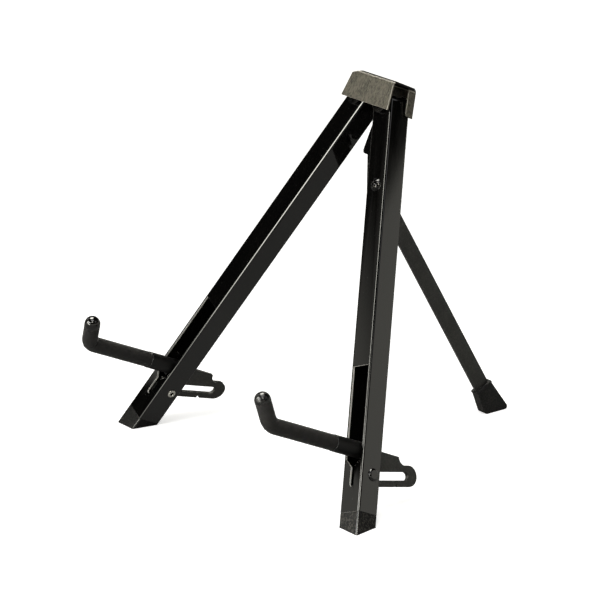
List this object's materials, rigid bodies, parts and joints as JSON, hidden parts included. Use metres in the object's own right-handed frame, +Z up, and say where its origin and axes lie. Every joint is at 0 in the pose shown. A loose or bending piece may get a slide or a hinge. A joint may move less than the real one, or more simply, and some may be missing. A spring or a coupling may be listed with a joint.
{
  "type": "guitar stand",
  "caption": "Folding A-frame floor stand for a guitar: square-tube legs hinged in a bent head, a flat rear bar with a rubber boot, and padded L-shaped arms on slotted plates.",
  "frame": {"origin": "on the floor under the middle of the stand's bounding box", "axes": "+X to the right across the legs, +Y to the back toward the rear bar, +Z up; the padded arms reach toward -Y"},
  "size_m": [0.3064, 0.3286, 0.2979],
  "materials": {
    "grained_grey": "satin, fine grain",
    "gloss_black_paint": "gloss",
    "satin_black_paint": "satin",
    "black_steel": "satin, blackened",
    "foam": "matt closed-cell foam",
    "gloss_plastic": "gloss",
    "matte_plastic": "matt",
    "black_rubber": "matt"
  },
  "bodies": {
    "head": {"head_saddle": "grained_grey", "hinge_bracket": "satin_black_paint", "leg_pins": "black_steel", "leg_spacers": "black_steel", "hinge_rivet": "black_steel"},
    "right_leg": {"right_leg_tube": "gloss_black_paint", "right_foot_shoe": "black_rubber", "right_slot_rivet": "black_steel", "buffer_screw": "black_steel", "rear_buffer": "black_rubber"},
    "left_leg": {"left_leg_tube": "gloss_black_paint", "left_foot_shoe": "black_rubber", "left_slot_rivet": "black_steel"},
    "rear_leg": {"rear_bar": "satin_black_paint", "rear_boot": "black_rubber"},
    "right_bush": {"right_slot_bush": "matte_plastic"},
    "left_bush": {"left_slot_bush": "matte_plastic"},
    "right_arm": {"right_arm_rod": "satin_black_paint", "right_arm_plate": "satin_black_paint", "right_arm_collar": "matte_plastic", "right_arm_sleeve": "foam", "right_arm_cap": "gloss_plastic"},
    "left_arm": {"left_arm_rod": "satin_black_paint", "left_arm_plate": "satin_black_paint", "left_arm_collar": "matte_plastic", "left_arm_sleeve": "foam", "left_arm_cap": "gloss_plastic"}
  },
  "joints": [
    {"name": "right_leg_fold", "type": "hinge", "parent": "head", "child": "right_leg", "pos_m": [0.015, 0.03782, 0.27538], "axis": [0, 0.9026, -0.4305], "range_deg": [0, 22.4]},
    {"name": "left_leg_fold", "type": "hinge", "parent": "head", "child": "left_leg", "pos_m": [-0.015, 0.03782, 0.27538], "axis": [0, -0.9026, 0.4305], "range_deg": [0, 22.4]},
    {"name": "rear_bar_fold", "type": "hinge", "parent": "head", "child": "rear_leg", "pos_m": [0.0089, 0.03116, 0.20776], "axis": [-1, 0, 0], "range_deg": [0, 56]},
    {"name": "right_arm_swing", "type": "hinge", "parent": "right_leg", "child": "right_bush", "pos_m": [0.12559, -0.07579, 0.03231], "axis": [-0.9245, -0.1641, -0.3439], "range_deg": [0, 68]},
    {"name": "right_arm_pull", "type": "slide", "parent": "right_bush", "child": "right_arm", "axis": [0.0766, -0.9642, 0.2539], "range_m": [0, 0.043]},
    {"name": "left_arm_swing", "type": "hinge", "parent": "left_leg", "child": "left_bush", "pos_m": [-0.12559, -0.07579, 0.03231], "axis": [-0.9245, 0.1641, 0.3439], "range_deg": [0, 68]},
    {"name": "left_arm_pull", "type": "slide", "parent": "left_bush", "child": "left_arm", "axis": [-0.0766, -0.9642, 0.2539], "range_m": [0, 0.043]}
  ],
  "couplings": [
    {"joint": "right_arm_pull", "follows": "right_arm_swing", "m_per_rad": 0.036231},
    {"joint": "left_arm_pull", "follows": "left_arm_swing", "m_per_rad": 0.036231}
  ]
}
